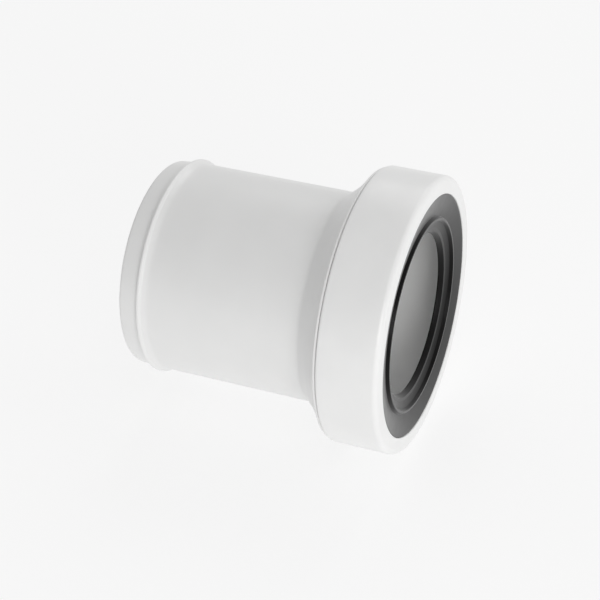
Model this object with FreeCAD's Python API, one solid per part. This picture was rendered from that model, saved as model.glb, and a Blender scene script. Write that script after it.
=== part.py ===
"""Straight push fit coupling: a pipe-size spigot at one end, a lip-sealed socket at the other.

Frame: the axis of the coupling is the X axis and +Z is up. The origin is on the axis, in the
plane of the spigot's end face, and the socket opens towards +X. Everything is turned about X,
so each piece is a closed outline of (x, r) points in millimetres, spun once round the axis.

Pieces, each a solid of its own:
  body          the spigot, its locating rib, the coned shoulder and the seal housing behind it
  lip_seal      the rubber seal: trapped flange, centring skirt, dished face, bead and fin
  retaining_cap the outer collar that clips over the housing and clamps the seal's flange
"""
import FreeCAD, Part
import math
import os

# ---- Driving dimensions (mm); X_ is a place along the axis, R_ a radius from it ----

LENGTH = 145.8              # spigot end face to the front of the retaining cap

# spigot and tube, the 110 mm pipe size
R_TUBE = 55.0
R_WATERWAY = 51.6
R_END_LAND = 54.2           # the lead-in is a little under pipe size at the end face
END_ROUNDING = 2.0

# locating rib round the spigot: steep towards the end, easing back to the tube behind
X_RIB = 11.0                # foot of the rib on the spigot's end side
R_RIB = 57.0
RIB_FRONT_RUN = 0.3         # its steep side leans over by this much
RIB_LAND = 1.0              # flat top of the rib, with its edges eased
RIB_BACK_STEEP = 1.1        # the steep first part of its back, along the axis
R_RIB_BACK = 55.9           # where the steep part ends
RIB_BACK_EASE = 2.9         # the gentle run-out down to the tube

# shoulder in two cones, and the rim that the cap stops behind
X_SHOULDER = 98.2
SHOULDER_ANGLE = 42.0       # degrees from the axis, lower cone
R_SHOULDER_BEND = 61.5
R_RIM_FOOT = 69.4           # the upper, steeper cone ends at the foot of the rim
X_RIM_FRONT = 113.6
RIM_WIDTH = 1.3
RIM_BACK_RUN = 0.4          # lean of the rim's back face
R_RIM = 70.8

# seal housing, the part of the body under the cap
R_HOUSING = 68.3
R_HOUSING_BORE = 64.8
X_HOUSING_FRONT = 139.9
X_BORE_CONE = 112.1         # the bore narrows to the waterway from here
BORE_CONE_ANGLE = 46.0      # degrees from the axis
X_CATCH = 131.0             # ring that the cap clips over
CATCH_LENGTH = 4.0
CATCH_HEIGHT = 0.9
CATCH_BACK_RUN = 0.6        # steep side that holds the cap on
CATCH_LEAD_IN = 2.0         # sloped side that the cap rides up

# retaining cap
CAP_GAP = 0.3               # open line between the body's rim and the cap
R_CAP = 72.0
R_CAP_BORE = 68.8
R_CAP_MOUTH = 63.0
CAP_FRONT_THICKNESS = 3.4
CAP_FRONT_ROUNDING = 3.0
CAP_REAR_ROUNDING = 1.4
CATCH_CLEARANCE = 0.3

# lip seal
SEAL_CLEARANCE = 0.1        # seal to the edge of the cap's mouth
SKIRT_CLEARANCE = 0.2       # skirt to the housing bore
R_SEAL_FLANGE = 67.8
X_SEAL_FACE = 145.4         # outer edge of the dished face
X_DISH_FLOOR = 142.8        # the same face at the outer foot of the bead
X_SKIRT_BACK = 133.8
SKIRT_THICKNESS = 2.2
NECK_SETBACK = 1.4          # inner corner behind the flange's front face
NECK_THICKNESS = 1.9        # and inside the cap's mouth
R_BEAD = 49.8               # raised bead round the dished face
X_BEAD = 144.6
X_BEAD_FOOT_IN = 142.8      # its inner foot, where the fin starts
BEAD_FOOT_OUT = 1.4         # half widths of the bead, outwards and inwards, at foot and top
BEAD_TOP_OUT = 0.7
BEAD_TOP_IN = 0.6
BEAD_FOOT_IN = 1.1
WEB_THICKNESS = 2.4
X_FIN_LIP = 141.5           # where the fin's slope meets the flat lip along its edge
R_FIN_LIP = 45.2
X_FIN_CREST = 141.4         # front edge of the lip
R_FIN_CREST = 43.3
X_FIN_TIP = 139.2           # innermost edge of the fin
R_FIN_TIP = 41.8
FIN_TIP_LENGTH = 0.75


def outline(corners):
    """Closed wire in the XZ plane through (x, r, rounding) corners, sharp where rounding is 0."""
    count = len(corners)
    edges = []
    previous_end = None
    first_start = None
    for i in range(count):
        x, r, rounding = corners[i]
        here = FreeCAD.Vector(x, 0, r)
        before = FreeCAD.Vector(corners[i - 1][0], 0, corners[i - 1][1])
        after = FreeCAD.Vector(corners[(i + 1) % count][0], 0, corners[(i + 1) % count][1])
        if rounding == 0:
            start = end = here
            arc = None
        else:
            back = (before - here).normalize()
            onward = (after - here).normalize()
            half = back.getAngle(onward) / 2
            reach = rounding / math.tan(half)
            start = here + back * reach
            end = here + onward * reach
            centre = here + (back + onward).normalize() * (rounding / math.sin(half))
            middle = centre + (here - centre).normalize() * rounding
            arc = Part.Arc(start, middle, end).toShape()
        if previous_end is not None:
            edges.append(Part.LineSegment(previous_end, start).toShape())
        else:
            first_start = start
        if arc is not None:
            edges.append(arc)
        previous_end = end
    edges.append(Part.LineSegment(previous_end, first_start).toShape())
    return Part.Wire(edges)


def turned(corners):
    """Solid of revolution about the X axis from an outline."""
    face = Part.Face(outline(corners))
    solid = face.revolve(FreeCAD.Vector(0, 0, 0), FreeCAD.Vector(1, 0, 0), 360)
    return Part.Solid(solid) if solid.ShapeType == "Shell" else solid


def body():
    """One moulding: spigot with its rib, tube, coned shoulder, rim and seal housing."""
    x_rib_front = X_RIB + RIB_FRONT_RUN
    x_rib_back = x_rib_front + RIB_LAND
    x_rib_ease = x_rib_back + RIB_BACK_STEEP
    lower_cone = math.tan(math.radians(SHOULDER_ANGLE))
    x_bend = X_SHOULDER + (R_SHOULDER_BEND - R_TUBE) / lower_cone
    x_rim_back = X_RIM_FRONT - RIM_WIDTH
    r_catch = R_HOUSING + CATCH_HEIGHT
    x_catch_front = X_CATCH + CATCH_LENGTH
    bore_cone = math.tan(math.radians(BORE_CONE_ANGLE))
    x_waterway_end = X_BORE_CONE - (R_HOUSING_BORE - R_WATERWAY) / bore_cone
    return turned([
        # outside, from the end face to the rim
        (0, R_WATERWAY, 0),
        (0, R_END_LAND, END_ROUNDING),
        (X_RIB, R_TUBE, 0.3),
        (x_rib_front, R_RIB, 0.35),
        (x_rib_back, R_RIB, 0.4),
        (x_rib_ease, R_RIB_BACK, 1.5),
        (x_rib_ease + RIB_BACK_EASE, R_TUBE, 6.0),
        (X_SHOULDER, R_TUBE, 4.0),
        (x_bend, R_SHOULDER_BEND, 8.0),
        (x_rim_back - RIM_BACK_RUN, R_RIM_FOOT, 0.5),
        (x_rim_back, R_RIM, 0.5),
        (X_RIM_FRONT, R_RIM, 0.5),
        # housing under the cap, with the ring that the cap clips over
        (X_RIM_FRONT, R_HOUSING, 0),
        (X_CATCH, R_HOUSING, 0),
        (X_CATCH + CATCH_BACK_RUN, r_catch, 0.3),
        (x_catch_front - CATCH_LEAD_IN, r_catch, 0.5),
        (x_catch_front, R_HOUSING, 0),
        (X_HOUSING_FRONT, R_HOUSING, 0.4),
        # inside, back to the end face
        (X_HOUSING_FRONT, R_HOUSING_BORE, 0.8),
        (X_BORE_CONE, R_HOUSING_BORE, 4.0),
        (x_waterway_end, R_WATERWAY, 4.0),
    ])


def retaining_cap():
    """Collar that clips over the housing; its front flange covers the seal's outer edge."""
    x_back = X_RIM_FRONT + CAP_GAP
    x_flange = LENGTH - CAP_FRONT_THICKNESS
    r_groove = R_HOUSING + CATCH_HEIGHT + CATCH_CLEARANCE
    x_groove_back = X_CATCH - CATCH_CLEARANCE
    x_groove_front = X_CATCH + CATCH_LENGTH + CATCH_CLEARANCE
    return turned([
        (x_back, R_CAP_BORE, 0.5),
        (x_back, R_CAP, CAP_REAR_ROUNDING),
        (LENGTH, R_CAP, CAP_FRONT_ROUNDING),
        (LENGTH, R_CAP_MOUTH, 0.5),
        (x_flange, R_CAP_MOUTH, 0.3),
        (x_flange, R_CAP_BORE, 0),
        # groove that the housing's catch sits in
        (x_groove_front, R_CAP_BORE, 0),
        (x_groove_front - CATCH_LEAD_IN, r_groove, 0.3),
        (x_groove_back, r_groove, 0.3),
        (x_groove_back, R_CAP_BORE, 0),
    ])


def lip_seal():
    """Rubber seal with a dished face, a raised bead and one fin that grips the pipe let in."""
    r_face = R_CAP_MOUTH - SEAL_CLEARANCE
    x_flange_front = LENGTH - CAP_FRONT_THICKNESS
    r_skirt = R_HOUSING_BORE - SKIRT_CLEARANCE
    return turned([
        # face, from the cap's mouth inwards
        (X_SEAL_FACE, r_face, 0.4),
        (X_DISH_FLOOR, R_BEAD + BEAD_FOOT_OUT, 0.5),
        (X_BEAD, R_BEAD + BEAD_TOP_OUT, 0.5),
        (X_BEAD, R_BEAD - BEAD_TOP_IN, 0.5),
        (X_BEAD_FOOT_IN, R_BEAD - BEAD_FOOT_IN, 0.8),
        (X_FIN_LIP, R_FIN_LIP, 1.2),
        (X_FIN_CREST, R_FIN_CREST, 0.5),
        (X_FIN_TIP, R_FIN_TIP, 0.3),
        (X_FIN_TIP - FIN_TIP_LENGTH, R_FIN_TIP, 0.3),
        # back of the fin and of the web, then the skirt
        (X_DISH_FLOOR - WEB_THICKNESS, R_BEAD, 3.0),
        (x_flange_front - NECK_SETBACK, r_face - NECK_THICKNESS, 0.8),
        (X_SKIRT_BACK, r_skirt - SKIRT_THICKNESS, 0.5),
        (X_SKIRT_BACK, r_skirt, 0.5),
        # flange trapped between the housing and the cap
        (X_HOUSING_FRONT, r_skirt, 0.2),
        (X_HOUSING_FRONT, R_SEAL_FLANGE, 0.4),
        (x_flange_front, R_SEAL_FLANGE, 0.4),
        (x_flange_front, r_face, 0.2),
    ])


PIECES = {
    "body": body,
    "retaining_cap": retaining_cap,
    "lip_seal": lip_seal,
}


def main():
    os.makedirs("parts", exist_ok=True)
    for name, make in PIECES.items():
        shape = make()
        if not shape.isValid() or len(shape.Solids) != 1:
            raise RuntimeError(name + " is not one valid solid")
        shape.exportStep(os.path.join("parts", name + ".step"))
        print("%-14s %.1f cm3" % (name, shape.Volume / 1000))


main()
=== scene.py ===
import math

import bmesh
import bpy
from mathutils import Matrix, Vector


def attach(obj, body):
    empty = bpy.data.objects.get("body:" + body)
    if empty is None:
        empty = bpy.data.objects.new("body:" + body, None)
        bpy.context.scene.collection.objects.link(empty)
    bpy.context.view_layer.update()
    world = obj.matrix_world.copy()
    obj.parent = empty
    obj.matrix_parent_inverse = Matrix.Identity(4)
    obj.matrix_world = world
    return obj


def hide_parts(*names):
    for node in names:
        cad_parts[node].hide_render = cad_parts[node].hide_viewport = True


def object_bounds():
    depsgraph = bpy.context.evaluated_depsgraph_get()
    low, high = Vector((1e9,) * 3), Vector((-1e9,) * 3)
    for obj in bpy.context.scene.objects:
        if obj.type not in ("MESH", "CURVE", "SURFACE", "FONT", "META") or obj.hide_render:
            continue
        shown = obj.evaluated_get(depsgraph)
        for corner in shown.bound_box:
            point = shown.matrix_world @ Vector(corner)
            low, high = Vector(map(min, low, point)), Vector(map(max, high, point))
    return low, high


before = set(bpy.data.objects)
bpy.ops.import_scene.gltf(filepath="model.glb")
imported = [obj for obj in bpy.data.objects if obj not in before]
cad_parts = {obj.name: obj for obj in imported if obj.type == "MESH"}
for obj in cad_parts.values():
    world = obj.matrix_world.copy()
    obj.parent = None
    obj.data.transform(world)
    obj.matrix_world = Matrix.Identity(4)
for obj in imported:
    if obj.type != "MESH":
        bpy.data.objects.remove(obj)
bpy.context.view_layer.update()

# The coupling is turned about the X axis: each piece is a closed outline of
# (x, r, rounding) corners in millimetres, spun round that axis. x is 0 at the spigot's
# end face and grows towards the socket's mouth.
MM = 0.001
SEGMENTS = 360              # facets round the axis
ARC_STEP = math.radians(10)  # longest step along a rounded corner
LONGEST_STEP = 4.0          # longest step along a straight stretch of an outline
SEAL_STEP = 2.0             # and of the seal's outline
SHARP_EDGE = math.radians(35)  # edges that turn by more than this are shaded sharp

# ---- Sizes, in millimetres ----

LENGTH = 145.8              # spigot end face to the front of the retaining cap

# spigot and tube, the 110 mm pipe size
R_TUBE = 55.0
R_WATERWAY = 51.6
R_END_LAND = 54.2           # the lead-in is a little under pipe size at the end face
END_ROUNDING = 2.0

# locating rib round the spigot: steep towards the end, easing back to the tube behind
X_RIB = 11.0                # foot of the rib on the spigot's end side
R_RIB = 57.0
RIB_FRONT_RUN = 0.3         # its steep side leans over by this much
RIB_LAND = 1.0              # flat top of the rib, with its edges eased
RIB_BACK_STEEP = 1.1        # the steep first part of its back, along the axis
R_RIB_BACK = 55.9           # where the steep part ends
RIB_BACK_EASE = 2.9         # the gentle run-out down to the tube

# shoulder in two cones, and the rim that the cap stops behind
X_SHOULDER = 98.2
SHOULDER_ANGLE = 42.0       # degrees from the axis, lower cone
R_SHOULDER_BEND = 61.5
R_RIM_FOOT = 69.4           # the upper, steeper cone ends at the foot of the rim
X_RIM_FRONT = 113.6
RIM_WIDTH = 1.3
RIM_BACK_RUN = 0.4          # lean of the rim's back face
R_RIM = 70.8

# seal housing, the part of the body under the cap
R_HOUSING = 68.3
R_HOUSING_BORE = 64.8
X_HOUSING_FRONT = 139.9
X_BORE_CONE = 112.1         # the bore narrows to the waterway from here
BORE_CONE_ANGLE = 46.0      # degrees from the axis
X_CATCH = 131.0             # ring that the cap clips over
CATCH_LENGTH = 4.0
CATCH_HEIGHT = 0.9
CATCH_BACK_RUN = 0.6        # steep side that holds the cap on
CATCH_LEAD_IN = 2.0         # sloped side that the cap rides up

# retaining cap
CAP_GAP = 0.3               # open line between the body's rim and the cap
R_CAP = 72.0
R_CAP_BORE = 68.8
R_CAP_MOUTH = 63.0
CAP_FRONT_THICKNESS = 3.4
CAP_FRONT_ROUNDING = 3.0
CAP_REAR_ROUNDING = 1.4
CATCH_CLEARANCE = 0.3

# lip seal
SEAL_CLEARANCE = 0.1        # seal to the edge of the cap's mouth
SKIRT_CLEARANCE = 0.2       # skirt to the housing bore
R_SEAL_FLANGE = 67.8
X_SEAL_FACE = 145.4         # outer edge of the dished face
X_DISH_FLOOR = 142.8        # the same face at the outer foot of the bead
X_SKIRT_BACK = 133.8
SKIRT_THICKNESS = 2.2
NECK_SETBACK = 1.4          # inner corner behind the flange's front face
NECK_THICKNESS = 1.9        # and inside the cap's mouth
R_BEAD = 49.8               # raised bead round the dished face
X_BEAD = 144.6
X_BEAD_FOOT_IN = 142.8      # its inner foot, where the fin starts
BEAD_FOOT_OUT = 1.4         # half widths of the bead, outwards and inwards, at foot and top
BEAD_TOP_OUT = 0.7
BEAD_TOP_IN = 0.6
BEAD_FOOT_IN = 1.1
WEB_THICKNESS = 2.4
X_FIN_LIP = 141.5           # where the fin's slope meets the flat lip along its edge
R_FIN_LIP = 45.2
X_FIN_CREST = 141.4         # front edge of the lip
R_FIN_CREST = 43.3
X_FIN_TIP = 139.2           # innermost edge of the fin
R_FIN_TIP = 41.8
FIN_TIP_LENGTH = 0.75


# ---- Shapes ----

def outline(corners):
    """Points (x, r) of a closed outline, with each rounded corner as a stepped arc."""
    points = []
    count = len(corners)
    for i in range(count):
        x, r, rounding = corners[i]
        here = Vector((x, r))
        if rounding == 0:
            points.append(here)
            continue
        before = Vector(corners[i - 1][:2])
        after = Vector(corners[(i + 1) % count][:2])
        back = (before - here).normalized()
        onward = (after - here).normalized()
        half = back.angle(onward) / 2
        start = here + back * (rounding / math.tan(half))
        centre = here + (back + onward).normalized() * (rounding / math.sin(half))
        arm = start - centre
        turn = math.pi - 2 * half
        if back.x * onward.y - back.y * onward.x > 0:
            turn = -turn
        steps = max(2, math.ceil(abs(turn) / ARC_STEP))
        for k in range(steps + 1):
            a = turn * k / steps
            c, s = math.cos(a), math.sin(a)
            points.append(centre + Vector((arm.x * c - arm.y * s, arm.x * s + arm.y * c)))
    return points


def subdivided(points, longest):
    """The closed outline with its long straight stretches divided into steps."""
    out = []
    for i, p in enumerate(points):
        q = points[(i + 1) % len(points)]
        steps = max(1, math.ceil((q - p).length / longest))
        out += [p.lerp(q, k / steps) for k in range(steps)]
    return out


def turned(name, corners, longest=LONGEST_STEP):
    """Closed mesh of revolution about X."""
    rim = subdivided(outline(corners), longest)
    mesh = bmesh.new()
    rings = []
    for j in range(SEGMENTS):
        angle = 2 * math.pi * j / SEGMENTS
        ring = []
        for x, r in rim:
            ring.append(mesh.verts.new(
                (x * MM, -r * math.sin(angle) * MM, r * math.cos(angle) * MM)))
        rings.append(ring)
    for j in range(SEGMENTS):
        here, onward = rings[j], rings[(j + 1) % SEGMENTS]
        for i in range(len(rim)):
            k = (i + 1) % len(rim)
            mesh.faces.new((here[i], here[k], onward[k], onward[i])).smooth = True
    bmesh.ops.recalc_face_normals(mesh, faces=mesh.faces)
    for edge in mesh.edges:
        if edge.calc_face_angle(0) > SHARP_EDGE:
            edge.smooth = False
    data = bpy.data.meshes.new(name)
    mesh.to_mesh(data)
    mesh.free()
    piece = bpy.data.objects.new(name, data)
    bpy.context.scene.collection.objects.link(piece)
    return piece


def body_outline():
    """One moulding: spigot with its rib, tube, coned shoulder, rim and seal housing."""
    x_rib_front = X_RIB + RIB_FRONT_RUN
    x_rib_back = x_rib_front + RIB_LAND
    x_rib_ease = x_rib_back + RIB_BACK_STEEP
    lower_cone = math.tan(math.radians(SHOULDER_ANGLE))
    x_bend = X_SHOULDER + (R_SHOULDER_BEND - R_TUBE) / lower_cone
    x_rim_back = X_RIM_FRONT - RIM_WIDTH
    r_catch = R_HOUSING + CATCH_HEIGHT
    x_catch_front = X_CATCH + CATCH_LENGTH
    bore_cone = math.tan(math.radians(BORE_CONE_ANGLE))
    x_waterway_end = X_BORE_CONE - (R_HOUSING_BORE - R_WATERWAY) / bore_cone
    return [
        # outside, from the end face to the rim
        (0, R_WATERWAY, 0.2),
        (0, R_END_LAND, END_ROUNDING),
        (X_RIB, R_TUBE, 0.3),
        (x_rib_front, R_RIB, 0.35),
        (x_rib_back, R_RIB, 0.4),
        (x_rib_ease, R_RIB_BACK, 1.5),
        (x_rib_ease + RIB_BACK_EASE, R_TUBE, 6.0),
        (X_SHOULDER, R_TUBE, 4.0),
        (x_bend, R_SHOULDER_BEND, 8.0),
        (x_rim_back - RIM_BACK_RUN, R_RIM_FOOT, 0.5),
        (x_rim_back, R_RIM, 0.5),
        (X_RIM_FRONT, R_RIM, 0.5),
        # housing under the cap, with the ring that the cap clips over
        (X_RIM_FRONT, R_HOUSING, 0.2),
        (X_CATCH, R_HOUSING, 0.2),
        (X_CATCH + CATCH_BACK_RUN, r_catch, 0.3),
        (x_catch_front - CATCH_LEAD_IN, r_catch, 0.5),
        (x_catch_front, R_HOUSING, 0.2),
        (X_HOUSING_FRONT, R_HOUSING, 0.4),
        # inside, back to the end face
        (X_HOUSING_FRONT, R_HOUSING_BORE, 0.8),
        (X_BORE_CONE, R_HOUSING_BORE, 4.0),
        (x_waterway_end, R_WATERWAY, 4.0),
    ]


def cap_outline():
    """Collar that clips over the housing; its front flange covers the seal's outer edge."""
    x_back = X_RIM_FRONT + CAP_GAP
    x_flange = LENGTH - CAP_FRONT_THICKNESS
    r_groove = R_HOUSING + CATCH_HEIGHT + CATCH_CLEARANCE
    x_groove_back = X_CATCH - CATCH_CLEARANCE
    x_groove_front = X_CATCH + CATCH_LENGTH + CATCH_CLEARANCE
    return [
        (x_back, R_CAP_BORE, 0.5),
        (x_back, R_CAP, CAP_REAR_ROUNDING),
        (LENGTH, R_CAP, CAP_FRONT_ROUNDING),
        (LENGTH, R_CAP_MOUTH, 0.5),
        (x_flange, R_CAP_MOUTH, 0.3),
        (x_flange, R_CAP_BORE, 0.1),
        # groove that the housing's catch sits in
        (x_groove_front, R_CAP_BORE, 0.1),
        (x_groove_front - CATCH_LEAD_IN, r_groove, 0.3),
        (x_groove_back, r_groove, 0.3),
        (x_groove_back, R_CAP_BORE, 0.1),
    ]


def seal_outline():
    """Rubber seal with a dished face, a raised bead and one fin that grips the pipe let in."""
    r_face = R_CAP_MOUTH - SEAL_CLEARANCE
    x_flange_front = LENGTH - CAP_FRONT_THICKNESS
    r_skirt = R_HOUSING_BORE - SKIRT_CLEARANCE
    return [
        # face, from the cap's mouth inwards
        (X_SEAL_FACE, r_face, 0.4),
        (X_DISH_FLOOR, R_BEAD + BEAD_FOOT_OUT, 0.5),
        (X_BEAD, R_BEAD + BEAD_TOP_OUT, 0.5),
        (X_BEAD, R_BEAD - BEAD_TOP_IN, 0.5),
        (X_BEAD_FOOT_IN, R_BEAD - BEAD_FOOT_IN, 0.8),
        (X_FIN_LIP, R_FIN_LIP, 1.2),
        (X_FIN_CREST, R_FIN_CREST, 0.5),
        (X_FIN_TIP, R_FIN_TIP, 0.3),
        (X_FIN_TIP - FIN_TIP_LENGTH, R_FIN_TIP, 0.3),
        # back of the fin and of the web, then the skirt
        (X_DISH_FLOOR - WEB_THICKNESS, R_BEAD, 3.0),
        (x_flange_front - NECK_SETBACK, r_face - NECK_THICKNESS, 0.8),
        (X_SKIRT_BACK, r_skirt - SKIRT_THICKNESS, 0.5),
        (X_SKIRT_BACK, r_skirt, 0.5),
        # flange trapped between the housing and the cap
        (X_HOUSING_FRONT, r_skirt, 0.2),
        (X_HOUSING_FRONT, R_SEAL_FLANGE, 0.4),
        (x_flange_front, R_SEAL_FLANGE, 0.4),
        (x_flange_front, r_face, 0.2),
    ]


# ---- Materials ----
# Noise scales are in features a metre, bump heights in metres.

# moulded plastic
PLASTIC_IOR = 1.49
DRIFT_SCALE = 38            # slow drift of the colour
DRIFT_RANGE = (0.3, 0.7)    # noise values that give the first and the second colour
SCUFF_SCALE = 110           # scuffs in the gloss
SCUFF_RANGE = (0.3, 0.75)   # noise values that give the glossiest and the dullest spots
SCUFF_GLOSSY = 0.02         # how far their roughness is under and over the plastic's own
SCUFF_DULL = 0.05
PEEL_SCALE = 520            # orange peel
PEEL_HEIGHT = 0.00001
PEEL_STRENGTH = 0.6
FLOW_SCALE = 90             # slow waves left by the mould's flow
FLOW_HEIGHT = 0.00006
FLOW_STRENGTH = 0.5

BODY_COLOURS = ((0.79, 0.79, 0.785), (0.81, 0.81, 0.805))
BODY_ROUGH = 0.34
CAP_COLOURS = ((0.83, 0.83, 0.825), (0.86, 0.86, 0.855))
CAP_ROUGH = 0.30

# rubber
RUBBER_DARK = (0.0020, 0.0019, 0.0018)
RUBBER_LIGHT = (0.0034, 0.0032, 0.0030)
RUBBER_ROUGH = 0.28
RUBBER_ROUGH_SPAN = 0.07    # how much rougher its dullest spots are
RUBBER_IOR = 1.20
RUBBER_BLOOM = 0.42         # sheen of the dry bloom, seen at a slant
RUBBER_BLOOM_ROUGH = 0.4
BLOOM_SCALE = 70            # patches of bloom in the colour
BLOOM_RANGE = (0.35, 0.75)
SMEAR_SCALE = 160           # unevenness of the gloss
SMEAR_RANGE = (0.3, 0.75)
GRAIN_SCALE = 600
GRAIN_HEIGHT = 0.000006
GRAIN_STRENGTH = 0.5


class Nodes:
    """A new material's node tree, with short calls to add and join nodes."""

    def __init__(self, name):
        self.material = bpy.data.materials.new(name)
        self.material.use_nodes = True
        self.tree = self.material.node_tree
        self.shader = self.tree.nodes["Principled BSDF"]

    def add(self, kind, **inputs):
        node = self.tree.nodes.new(kind)
        for key, value in inputs.items():
            node.inputs[key.replace("_", " ")].default_value = value
        return node

    def join(self, source, output, target, entry):
        self.tree.links.new(source.outputs[output], target.inputs[entry])

    def noise(self, scale, detail):
        """Noise in object space."""
        place = self.add("ShaderNodeTexCoord")
        node = self.add("ShaderNodeTexNoise", Scale=scale, Detail=detail, Roughness=0.5)
        self.join(place, "Object", node, "Vector")
        return node

    def span(self, source, between, to_low, to_high):
        """A noise's value remapped from the range between to to_low..to_high, held outside."""
        node = self.add("ShaderNodeMapRange", From_Min=between[0], From_Max=between[1],
                        To_Min=to_low, To_Max=to_high)
        self.join(source, "Fac", node, "Value")
        return node

    def colour(self, factor, first, second):
        """The base colour blends from first to second with the factor."""
        node = self.add("ShaderNodeMix")
        node.data_type = "RGBA"
        node.inputs["A"].default_value = (*first, 1)
        node.inputs["B"].default_value = (*second, 1)
        self.join(factor, "Result", node, "Factor")
        self.join(node, "Result", self.shader, "Base Color")

    def bump(self, source, height, strength, under=None):
        node = self.add("ShaderNodeBump", Strength=strength, Distance=height)
        self.join(source, "Fac", node, "Height")
        if under:
            self.join(under, "Normal", node, "Normal")
        return node


def white_plastic(name, colours, roughness):
    """Moulded polypropylene: slow colour drift, scuffs in the gloss and a faint orange peel."""
    m = Nodes(name)
    drift = m.noise(DRIFT_SCALE, 3)
    m.colour(m.span(drift, DRIFT_RANGE, 0, 1), *colours)
    gloss = m.noise(SCUFF_SCALE, 3)
    rough = m.span(gloss, SCUFF_RANGE, roughness - SCUFF_GLOSSY, roughness + SCUFF_DULL)
    m.join(rough, "Result", m.shader, "Roughness")
    skin = m.bump(m.noise(PEEL_SCALE, 1), PEEL_HEIGHT, PEEL_STRENGTH)
    waves = m.bump(m.noise(FLOW_SCALE, 1), FLOW_HEIGHT, FLOW_STRENGTH, under=skin)
    m.join(waves, "Normal", m.shader, "Normal")
    m.shader.inputs["IOR"].default_value = PLASTIC_IOR
    return m.material


def black_rubber(name):
    """Satin moulded rubber with a dry bloom and a faint unevenness in its gloss."""
    m = Nodes(name)
    bloom = m.noise(BLOOM_SCALE, 4)
    m.colour(m.span(bloom, BLOOM_RANGE, 0, 1), RUBBER_DARK, RUBBER_LIGHT)
    smear = m.noise(SMEAR_SCALE, 3)
    rough = m.span(smear, SMEAR_RANGE, RUBBER_ROUGH, RUBBER_ROUGH + RUBBER_ROUGH_SPAN)
    m.join(rough, "Result", m.shader, "Roughness")
    skin = m.bump(m.noise(GRAIN_SCALE, 1), GRAIN_HEIGHT, GRAIN_STRENGTH)
    m.join(skin, "Normal", m.shader, "Normal")
    m.shader.inputs["IOR"].default_value = RUBBER_IOR
    m.shader.inputs["Sheen Weight"].default_value = RUBBER_BLOOM
    m.shader.inputs["Sheen Roughness"].default_value = RUBBER_BLOOM_ROUGH
    return m.material


# ---- Pieces ----

body = turned("body_moulding", body_outline())
cap = turned("retaining_cap_moulding", cap_outline())
seal = turned("lip_seal_rubber", seal_outline(), longest=SEAL_STEP)

LOOKS = (
    (body, "body", "body_plastic",
     white_plastic("white_body_plastic", BODY_COLOURS, BODY_ROUGH)),
    (cap, "retaining_cap", "cap_plastic",
     white_plastic("white_cap_plastic", CAP_COLOURS, CAP_ROUGH)),
    (seal, "lip_seal", "seal_rubber", black_rubber("black_seal_rubber")),
)
for piece, node, slot, material in LOOKS:
    piece.data.materials.append(material)
    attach(piece, "root")
    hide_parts(node)

# ---- Studio ----

BODY_LOW, BODY_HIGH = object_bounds()
CENTRE = (BODY_LOW + BODY_HIGH) / 2

# camera: where it stands round the object, how far off, and its lens and sensor in mm
AZIMUTH = math.radians(22.0)
ELEVATION = math.radians(31.9)
DISTANCE = 0.9214
LENS = 109.3
SENSOR = 36
AIM = Vector((0.0854, -0.0195, 0.0070))

FLOOR_HALF = 6.0
FLOOR_SHADE = 0.25
FLOOR_ROUGH = 0.9
FLOOR_GLOW = 0.737          # the light it gives off, which keeps it near white

# surround: its least light, and how much more comes from the mouth's side and from behind
SKY_BASE = 0.21
SKY_MOUTH_SIDE = 0.277
SKY_BACK = 0.559
SKY_FROM = -0.6             # how far towards a side each brightening starts and ends
SKY_TO = 0.9

# square softboxes: name, place, width and power in watts
SOFTBOXES = (
    ("front_right", (1.15, -1.30, 0.40), 0.8, 8.9),
    ("front", (0.10, -1.75, 0.35), 0.8, 1.0),
    ("overhead_front", (0.5, -1.0, 1.6), 0.9, 3.2),
    ("overhead_back", (0.0, 1.2, 1.2), 0.9, 3.9),
)


def camera():
    towards = Vector((math.sin(AZIMUTH) * math.cos(ELEVATION),
                      -math.cos(AZIMUTH) * math.cos(ELEVATION),
                      math.sin(ELEVATION)))
    data = bpy.data.cameras.new("camera")
    data.lens = LENS
    data.sensor_width = SENSOR
    seen_by = bpy.data.objects.new("camera", data)
    seen_by.location = AIM + towards * DISTANCE
    seen_by.rotation_mode = "QUATERNION"
    seen_by.rotation_quaternion = (-towards).to_track_quat("-Z", "Y")
    bpy.context.scene.collection.objects.link(seen_by)
    bpy.context.scene.camera = seen_by


def softbox(name, place, size, power):
    """Square area light at a place, facing the object."""
    data = bpy.data.lights.new(name, "AREA")
    data.size = size
    data.energy = power
    lamp = bpy.data.objects.new(name, data)
    lamp.location = place
    lamp.rotation_mode = "QUATERNION"
    lamp.rotation_quaternion = (CENTRE - Vector(place)).to_track_quat("-Z", "Y")
    bpy.context.scene.collection.objects.link(lamp)


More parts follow.
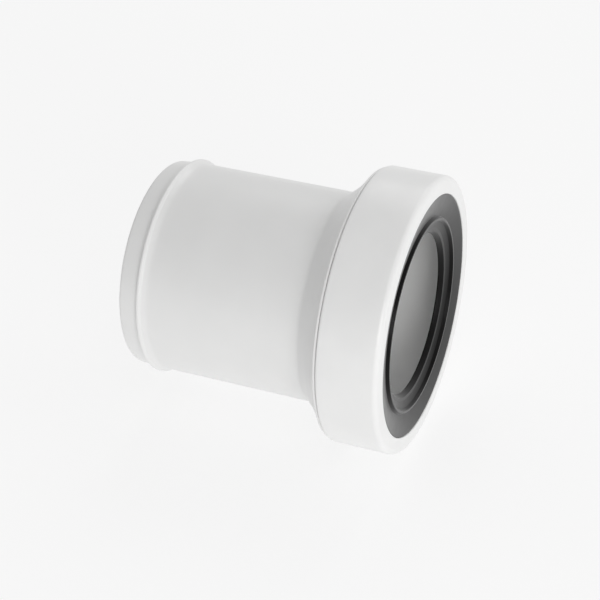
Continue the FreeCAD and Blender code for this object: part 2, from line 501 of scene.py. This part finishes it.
def floor():
    half = FLOOR_HALF
    height = BODY_LOW.z
    data = bpy.data.meshes.new("floor")
    data.from_pydata([(-half, -half, height), (half, -half, height),
                      (half, half, height), (-half, half, height)], [], [(0, 1, 2, 3)])
    plane = bpy.data.objects.new("floor", data)
    bpy.context.scene.collection.objects.link(plane)
    m = Nodes("pale_floor")
    m.shader.inputs["Base Color"].default_value = (FLOOR_SHADE, FLOOR_SHADE, FLOOR_SHADE, 1)
    m.shader.inputs["Roughness"].default_value = FLOOR_ROUGH
    m.shader.inputs["Specular IOR Level"].default_value = 0.0
    m.shader.inputs["Emission Color"].default_value = (1, 1, 1, 1)
    m.shader.inputs["Emission Strength"].default_value = FLOOR_GLOW
    plane.data.materials.append(m.material)


def brighter_towards(tree, parts, axis, low, high):
    """Node whose Result rises from low to high towards +axis of the surround's direction."""
    ramp = tree.nodes.new("ShaderNodeMapRange")
    for key, value in (("From Min", SKY_FROM), ("From Max", SKY_TO),
                       ("To Min", low), ("To Max", high)):
        ramp.inputs[key].default_value = value
    tree.links.new(parts.outputs[axis], ramp.inputs["Value"])
    return ramp


def sky():
    """Even soft surround, brighter towards the mouth's side (+X) and behind the object (+Y)."""
    world = bpy.data.worlds.new("studio")
    world.use_nodes = True
    tree = world.node_tree
    direction = tree.nodes.new("ShaderNodeTexCoord")
    parts = tree.nodes.new("ShaderNodeSeparateXYZ")
    tree.links.new(direction.outputs["Generated"], parts.inputs["Vector"])
    side = brighter_towards(tree, parts, "X", SKY_BASE, SKY_BASE + SKY_MOUTH_SIDE)
    behind = brighter_towards(tree, parts, "Y", 0, SKY_BACK)
    both = tree.nodes.new("ShaderNodeMath")
    tree.links.new(side.outputs["Result"], both.inputs[0])
    tree.links.new(behind.outputs["Result"], both.inputs[1])
    background = tree.nodes["Background"]
    background.inputs["Color"].default_value = (1, 1, 1, 1)
    tree.links.new(both.outputs["Value"], background.inputs["Strength"])
    bpy.context.scene.world = world


camera()
floor()
sky()
for lamp in SOFTBOXES:
    softbox(*lamp)
bpy.context.scene.view_settings.view_transform = "Standard"
